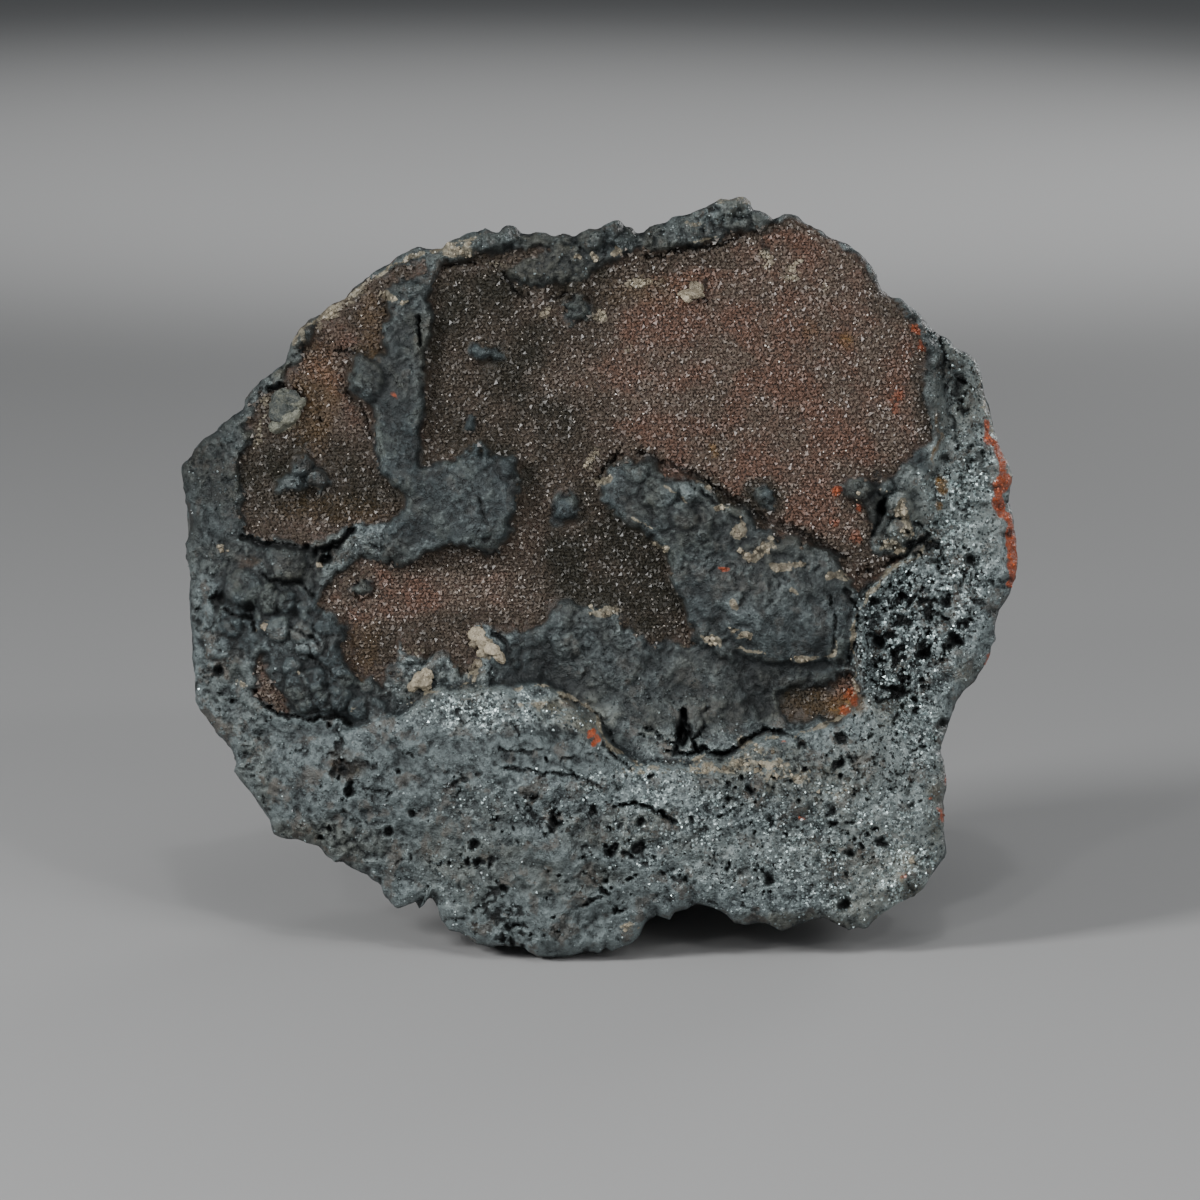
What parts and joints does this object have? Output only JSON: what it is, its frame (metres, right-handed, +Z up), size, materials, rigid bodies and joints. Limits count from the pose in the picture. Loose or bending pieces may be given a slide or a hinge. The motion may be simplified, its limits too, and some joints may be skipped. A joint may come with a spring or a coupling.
{
  "type": "rhodochrosite specimen",
  "caption": "Mineral specimen: dark blue-grey manganese-oxide rock, broken at the rim, whose hollows are lined with a sparkling brown-red rhodochrosite druse.",
  "frame": {"origin": "middle of the specimen's box, on the surface it stands on", "axes": "+X to the right across the face, +Y away from the viewer through the thickness, +Z up; the face looks along -Y and leans back 10 degrees"},
  "size_m": [0.12, 0.0593, 0.1073],
  "materials": {
    "oxide_rock": "dark blue-grey manganese oxide, granular with a metallic glint on broken faces, smooth and dull where it grew as a crust",
    "druse": "brown-red crust of fine glittering crystals",
    "pale_crystal": "cream, waxy, with rough faces",
    "grey_crystal": "grey-green, waxy, with rough faces"
  },
  "bodies": {
    "root": {"matrix": "oxide_rock", "druse_main": "druse", "druse_upper_left": "druse", "druse_lower_right": "druse", "druse_left_pocket": "druse", "pale_crystal_centre": "pale_crystal", "pale_crystal_rim": "pale_crystal", "pale_crystal_plateau": "pale_crystal", "grey_crystal": "grey_crystal"}
  },
  "joints": []
}
